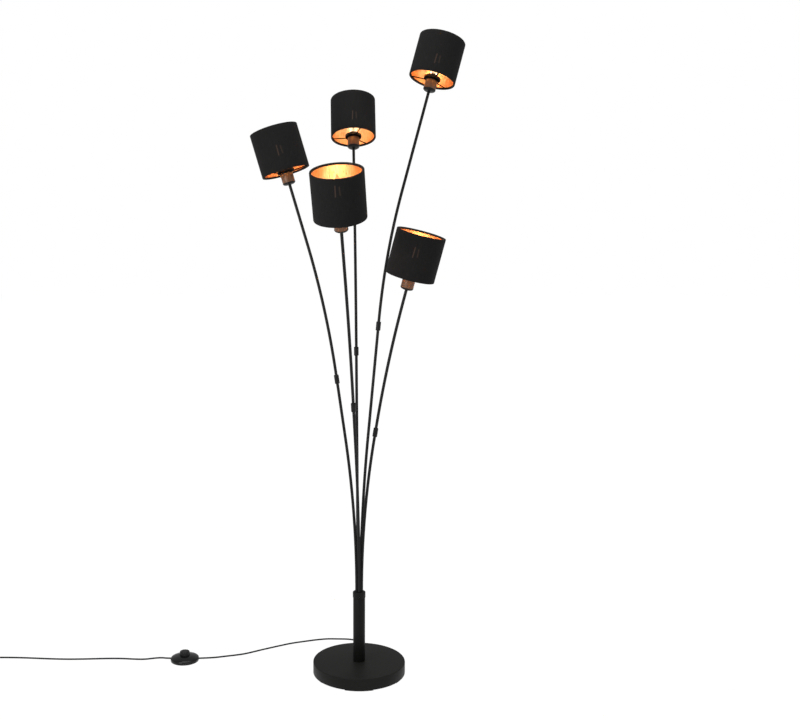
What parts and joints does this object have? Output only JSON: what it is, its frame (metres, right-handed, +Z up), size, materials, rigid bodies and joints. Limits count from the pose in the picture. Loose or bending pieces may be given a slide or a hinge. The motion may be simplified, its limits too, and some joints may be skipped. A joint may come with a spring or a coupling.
{
  "type": "tree floor lamp",
  "caption": "Floor lamp on a round weighted foot: curved tube arms fan out from a short column, each ending in a drum shade over a candle bulb; cord with foot switch and plug.",
  "frame": {"origin": "centre of the round foot, on the floor", "axes": "+Z up along the column, -Y the side with the front arm, +X to the right as seen from the front; the cord with its foot switch lies along -X"},
  "size_m": [1.4644, 0.737, 1.7659],
  "materials": {
    "black_metal": "satin powder coat",
    "screw_steel": "plain zinc",
    "cast_weight": "as cast",
    "foot_pad": "matt",
    "holder_black": "smooth",
    "sleeve_brown": "smooth bronze brown",
    "shade_fabric": "woven black outside, gold foil inside",
    "bulb_glass": "clear",
    "insulation": "white",
    "cord_black": "smooth",
    "switch_black": "gloss"
  },
  "bodies": {
    "root": {"base_cover": "black_metal", "base_weight": "cast_weight", "base_plate": "black_metal", "base_feet": "foot_pad", "base_nut": "screw_steel", "tie_pipe": "screw_steel", "column_tube": "black_metal", "arm_block": "black_metal", "arm_block_screws": "screw_steel", "terminal_block": "insulation", "inner_leads": "cord_black", "cord_bush": "cord_black", "cord_to_switch": "cord_black", "switch_base": "switch_black", "switch_cover": "switch_black", "switch_spring": "screw_steel", "cord_to_coil": "cord_black", "cord_coil": "cord_black", "plug": "switch_black"},
    "arm_front": {"front_lower_tube": "black_metal", "front_coupler": "black_metal", "front_upper_tube": "black_metal", "front_holder": "holder_black", "front_sleeve": "sleeve_brown", "front_frame": "black_metal", "front_shade": "shade_fabric", "front_bulb": "bulb_glass"},
    "arm_low": {"low_lower_tube": "black_metal", "low_coupler": "black_metal", "low_upper_tube": "black_metal", "low_holder": "holder_black", "low_sleeve": "sleeve_brown", "low_frame": "black_metal", "low_shade": "shade_fabric", "low_bulb": "bulb_glass"},
    "arm_high": {"high_lower_tube": "black_metal", "high_coupler": "black_metal", "high_upper_tube": "black_metal", "high_holder": "holder_black", "high_sleeve": "sleeve_brown", "high_frame": "black_metal", "high_shade": "shade_fabric", "high_bulb": "bulb_glass"},
    "arm_middle": {"middle_lower_tube": "black_metal", "middle_coupler": "black_metal", "middle_upper_tube": "black_metal", "middle_holder": "holder_black", "middle_sleeve": "sleeve_brown", "middle_frame": "black_metal", "middle_shade": "shade_fabric", "middle_bulb": "bulb_glass"},
    "arm_left": {"left_lower_tube": "black_metal", "left_coupler": "black_metal", "left_upper_tube": "black_metal", "left_holder": "holder_black", "left_sleeve": "sleeve_brown", "left_frame": "black_metal", "left_shade": "shade_fabric", "left_bulb": "bulb_glass"},
    "switch_button": {"switch_button": "switch_black"}
  },
  "joints": [
    {"name": "front_swivel", "type": "hinge", "parent": "root", "child": "arm_front", "pos_m": [0, -0.0073, 0.2185], "axis": [0, 0, 1], "range_deg": [-10, 10]},
    {"name": "low_swivel", "type": "hinge", "parent": "root", "child": "arm_low", "pos_m": [0.00694, -0.00226, 0.2185], "axis": [0, 0, 1], "range_deg": [-10, 10]},
    {"name": "high_swivel", "type": "hinge", "parent": "root", "child": "arm_high", "pos_m": [0.00429, 0.00591, 0.2185], "axis": [0, 0, 1], "range_deg": [-10, 10]},
    {"name": "middle_swivel", "type": "hinge", "parent": "root", "child": "arm_middle", "pos_m": [-0.00429, 0.00591, 0.2185], "axis": [0, 0, 1], "range_deg": [-10, 10]},
    {"name": "left_swivel", "type": "hinge", "parent": "root", "child": "arm_left", "pos_m": [-0.00694, -0.00226, 0.2185], "axis": [0, 0, 1], "range_deg": [-10, 10]},
    {"name": "switch_press", "type": "slide", "parent": "root", "child": "switch_button", "axis": [0, 0, -1], "range_m": [0, 0.003], "stiffness_N_per_m": 900, "springref_m": -0.002, "deforming": ["switch_spring"]}
  ]
}
